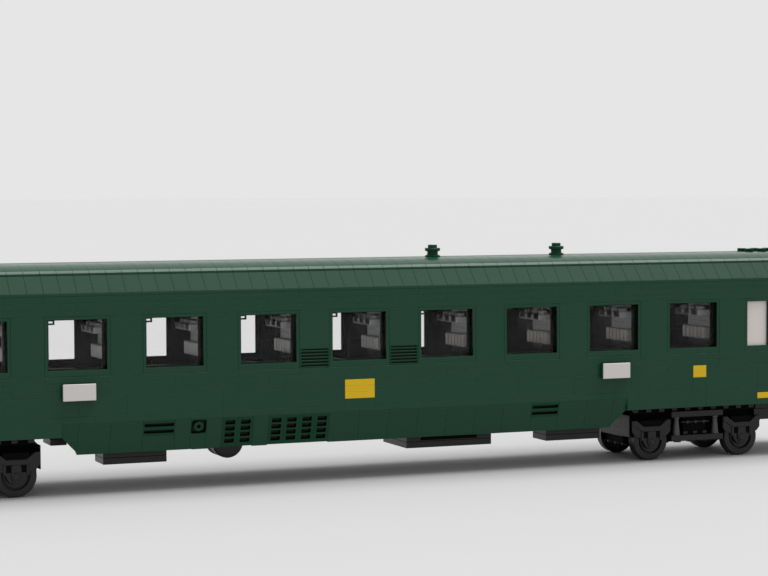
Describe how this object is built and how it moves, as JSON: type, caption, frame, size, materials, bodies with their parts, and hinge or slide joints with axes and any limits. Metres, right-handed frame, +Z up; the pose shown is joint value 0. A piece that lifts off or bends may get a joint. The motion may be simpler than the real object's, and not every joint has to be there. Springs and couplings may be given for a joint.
{
  "type": "toy passenger coach",
  "caption": "Brick-built toy passenger coach in dark green on swivelling four-wheel bogies, with hinged entrance doors, clear windows and benches inside.",
  "frame": {"origin": "middle of the coach at the level that the wheels stand on", "axes": "+X along the coach, +Z up, -Y is the near side"},
  "size_m": [0.5908, 0.0704, 0.1172],
  "materials": {
    "green_plastic": "moulded dark green plastic, glossy",
    "black_plastic": "moulded black plastic",
    "underframe_plastic": "moulded black plastic, slightly satin",
    "bogie_plastic": "moulded near-black plastic",
    "grey_plastic": "moulded dark grey plastic",
    "tan_grey_plastic": "moulded light tan-grey plastic",
    "light_grey_plastic": "moulded grey plastic",
    "white_plastic": "moulded white plastic",
    "yellow_plastic": "moulded yellow plastic",
    "clear_pane": "clear moulded plastic pane",
    "frosted_pane": "frosted white pane",
    "magnet_steel": "plated magnet"
  },
  "bodies": {
    "coach": {"floor_pan": "black_plastic", "wall_near": "green_plastic", "wall_far": "green_plastic", "end_wall_left": "green_plastic", "end_wall_right": "green_plastic", "window_frames": "green_plastic", "window_panes": "clear_pane", "lavatory_windows": "frosted_pane", "pillar_grilles": "green_plastic", "roof_slope_near": "green_plastic", "roof_slope_far": "green_plastic", "roof_deck": "green_plastic", "roof_curve_near": "green_plastic", "roof_curve_far": "green_plastic", "roof_ridge": "green_plastic", "roof_vents": "green_plastic", "skirt_near": "green_plastic", "skirt_far": "green_plastic", "skirt_grilles": "green_plastic", "destination_boards": "green_plastic", "board_faces": "white_plastic", "yellow_plates": "yellow_plastic", "partitions": "black_plastic", "partition_panels": "grey_plastic", "bench_bases": "black_plastic", "bench_backs": "tan_grey_plastic", "luggage_racks": "grey_plastic", "equipment_boxes": "underframe_plastic", "air_tank": "underframe_plastic", "door_frames": "green_plastic", "gangways": "black_plastic", "gangway_doors": "underframe_plastic"},
    "door_near_left": {"door_near_left": "green_plastic", "door_near_left_pane": "clear_pane"},
    "door_near_right": {"door_near_right": "green_plastic", "door_near_right_pane": "clear_pane"},
    "door_far_left": {"door_far_left": "green_plastic", "door_far_left_pane": "clear_pane"},
    "door_far_right": {"door_far_right": "green_plastic", "door_far_right_pane": "clear_pane"},
    "bogie_left": {"bogie_left_frame": "bogie_plastic", "bogie_left_sides": "bogie_plastic", "bogie_left_dampers": "light_grey_plastic", "bogie_left_buffers": "bogie_plastic", "bogie_left_magnet": "magnet_steel"},
    "bogie_right": {"bogie_right_frame": "bogie_plastic", "bogie_right_sides": "bogie_plastic", "bogie_right_dampers": "light_grey_plastic", "bogie_right_buffers": "bogie_plastic", "bogie_right_magnet": "magnet_steel"},
    "wheelset_left_outer": {"wheelset_left_outer": "bogie_plastic"},
    "wheelset_left_inner": {"wheelset_left_inner": "bogie_plastic"},
    "wheelset_right_inner": {"wheelset_right_inner": "bogie_plastic"},
    "wheelset_right_outer": {"wheelset_right_outer": "bogie_plastic"}
  },
  "joints": [
    {"name": "bogie_left_swivel", "type": "hinge", "parent": "coach", "child": "bogie_left", "pos_m": [-0.2, 0, 0.024], "axis": [0, 0, 1], "range_deg": [-12, 12]},
    {"name": "bogie_right_swivel", "type": "hinge", "parent": "coach", "child": "bogie_right", "pos_m": [0.2, 0, 0.024], "axis": [0, 0, 1], "range_deg": [-12, 12]},
    {"name": "wheelset_left_outer_roll", "type": "hinge", "parent": "bogie_left", "child": "wheelset_left_outer", "pos_m": [-0.228, 0, 0.0104], "axis": [0, 1, 0], "continuous": true},
    {"name": "wheelset_left_inner_roll", "type": "hinge", "parent": "bogie_left", "child": "wheelset_left_inner", "pos_m": [-0.172, 0, 0.0104], "axis": [0, 1, 0], "continuous": true},
    {"name": "wheelset_right_inner_roll", "type": "hinge", "parent": "bogie_right", "child": "wheelset_right_inner", "pos_m": [0.172, 0, 0.0104], "axis": [0, 1, 0], "continuous": true},
    {"name": "wheelset_right_outer_roll", "type": "hinge", "parent": "bogie_right", "child": "wheelset_right_outer", "pos_m": [0.228, 0, 0.0104], "axis": [0, 1, 0], "continuous": true},
    {"name": "door_near_left_hinge", "type": "hinge", "parent": "coach", "child": "door_near_left", "pos_m": [-0.2515, -0.0305, 0.0606], "axis": [0, 0, 1], "range_deg": [0, 90]},
    {"name": "door_near_right_hinge", "type": "hinge", "parent": "coach", "child": "door_near_right", "pos_m": [0.2515, -0.0305, 0.0606], "axis": [0, 0, -1], "range_deg": [0, 90]},
    {"name": "door_far_left_hinge", "type": "hinge", "parent": "coach", "child": "door_far_left", "pos_m": [-0.2515, 0.0305, 0.0606], "axis": [0, 0, -1], "range_deg": [0, 90]},
    {"name": "door_far_right_hinge", "type": "hinge", "parent": "coach", "child": "door_far_right", "pos_m": [0.2515, 0.0305, 0.0606], "axis": [0, 0, 1], "range_deg": [0, 90]}
  ]
}
